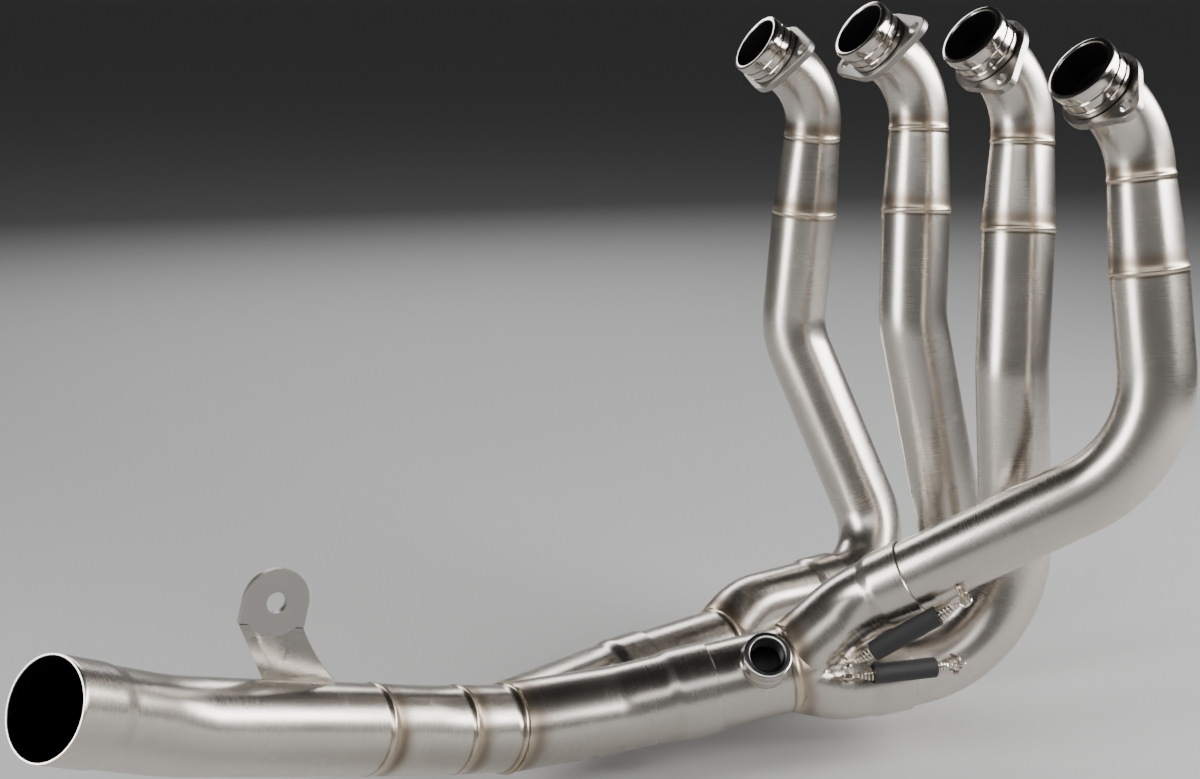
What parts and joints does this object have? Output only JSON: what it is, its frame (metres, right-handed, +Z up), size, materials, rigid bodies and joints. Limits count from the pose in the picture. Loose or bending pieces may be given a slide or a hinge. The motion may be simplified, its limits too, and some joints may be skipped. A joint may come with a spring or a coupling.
{
  "type": "motorcycle exhaust header",
  "caption": "Stainless exhaust header for an inline motorcycle engine: bent header pipes with loose flanges merge in sprung slip joints into one outlet pipe with a hanger bracket.",
  "frame": {"origin": "centre of the outlet socket's mouth", "axes": "+X forward along the motorcycle, +Y to its left, +Z up, with the header as it sits on the bike"},
  "size_m": [0.5637, 0.3166, 0.3884],
  "materials": {
    "tube": "satin polished stainless tube with straw heat tint at the welds",
    "flange": "laser-cut stainless plate",
    "fitting": "turned stainless",
    "bracket": "folded stainless sheet",
    "wire": "bright drawn wire",
    "hose": "matt black rubber hose"
  },
  "bodies": {
    "collector": {"collector": "tube", "collector_hooks": "wire", "outlet_pipe": "tube", "hanger_bracket": "bracket", "right_merge_spring": "wire", "right_merge_spring_sleeve": "hose", "left_merge_spring": "wire", "left_merge_spring_sleeve": "hose"},
    "right_merge": {"right_merge_pipe": "tube", "right_merge_pipe_hooks": "wire", "sensor_boss": "fitting", "header_3_spring": "wire", "header_3_spring_sleeve": "hose", "header_4_spring": "wire", "header_4_spring_sleeve": "hose"},
    "left_merge": {"left_merge_pipe": "tube", "left_merge_pipe_hooks": "wire", "header_1_spring": "wire", "header_1_spring_sleeve": "hose", "header_2_spring": "wire", "header_2_spring_sleeve": "hose"},
    "header_1": {"header_pipe_1": "tube", "header_pipe_1_hooks": "wire"},
    "flange_1": {"flange_1": "flange"},
    "header_2": {"header_pipe_2": "tube", "header_pipe_2_hooks": "wire"},
    "flange_2": {"flange_2": "flange"},
    "header_3": {"header_pipe_3": "tube", "header_pipe_3_hooks": "wire"},
    "flange_3": {"flange_3": "flange"},
    "header_4": {"header_pipe_4": "tube", "header_pipe_4_hooks": "wire"},
    "flange_4": {"flange_4": "flange"}
  },
  "joints": [
    {"name": "right_merge_slip", "type": "slide", "parent": "collector", "child": "right_merge", "axis": [0.9367, -0.3196, 0.1433], "range_m": [0, 0.005], "stiffness_N_per_m": 12000, "springref_m": -0.002, "deforming": ["right_merge_spring", "right_merge_spring_sleeve"]},
    {"name": "header_3_slip", "type": "slide", "parent": "right_merge", "child": "header_3", "axis": [0.9585, -0.2684, 0.0959], "range_m": [0, 0.005], "stiffness_N_per_m": 12000, "springref_m": -0.002, "deforming": ["header_3_spring", "header_3_spring_sleeve"]},
    {"name": "header_4_slip", "type": "slide", "parent": "right_merge", "child": "header_4", "axis": [0.5546, -0.6443, 0.5266], "range_m": [0, 0.005], "stiffness_N_per_m": 12000, "springref_m": -0.002, "deforming": ["header_4_spring", "header_4_spring_sleeve"]},
    {"name": "left_merge_slip", "type": "slide", "parent": "collector", "child": "left_merge", "axis": [0.9956, 0.0905, 0.0226], "range_m": [0, 0.005], "stiffness_N_per_m": 12000, "springref_m": -0.002, "deforming": ["left_merge_spring", "left_merge_spring_sleeve"]},
    {"name": "header_1_slip", "type": "slide", "parent": "left_merge", "child": "header_1", "axis": [0.9986, 0.0521, 0], "range_m": [0, 0.005], "stiffness_N_per_m": 12000, "springref_m": -0.002, "deforming": ["header_1_spring", "header_1_spring_sleeve"]},
    {"name": "header_2_slip", "type": "slide", "parent": "left_merge", "child": "header_2", "axis": [0.9298, -0.3596, 0.0789], "range_m": [0, 0.005], "stiffness_N_per_m": 12000, "springref_m": -0.002, "deforming": ["header_2_spring", "header_2_spring_sleeve"]},
    {"name": "flange_1_swivel", "type": "hinge", "parent": "header_1", "child": "flange_1", "pos_m": [0.48625, 0.16392, 0.23223], "axis": [0.8233, -0.16, -0.5446], "continuous": true},
    {"name": "flange_2_swivel", "type": "hinge", "parent": "header_2", "child": "flange_2", "pos_m": [0.49446, 0.08356, 0.24215], "axis": [0.8052, -0.1203, -0.5807], "continuous": true},
    {"name": "flange_3_swivel", "type": "hinge", "parent": "header_3", "child": "flange_3", "pos_m": [0.49864, 0.00339, 0.24109], "axis": [0.785, -0.0687, -0.6157], "continuous": true},
    {"name": "flange_4_swivel", "type": "hinge", "parent": "header_4", "child": "flange_4", "pos_m": [0.49119, -0.07795, 0.2287], "axis": [0.7883, -0.0898, -0.6088], "continuous": true}
  ]
}
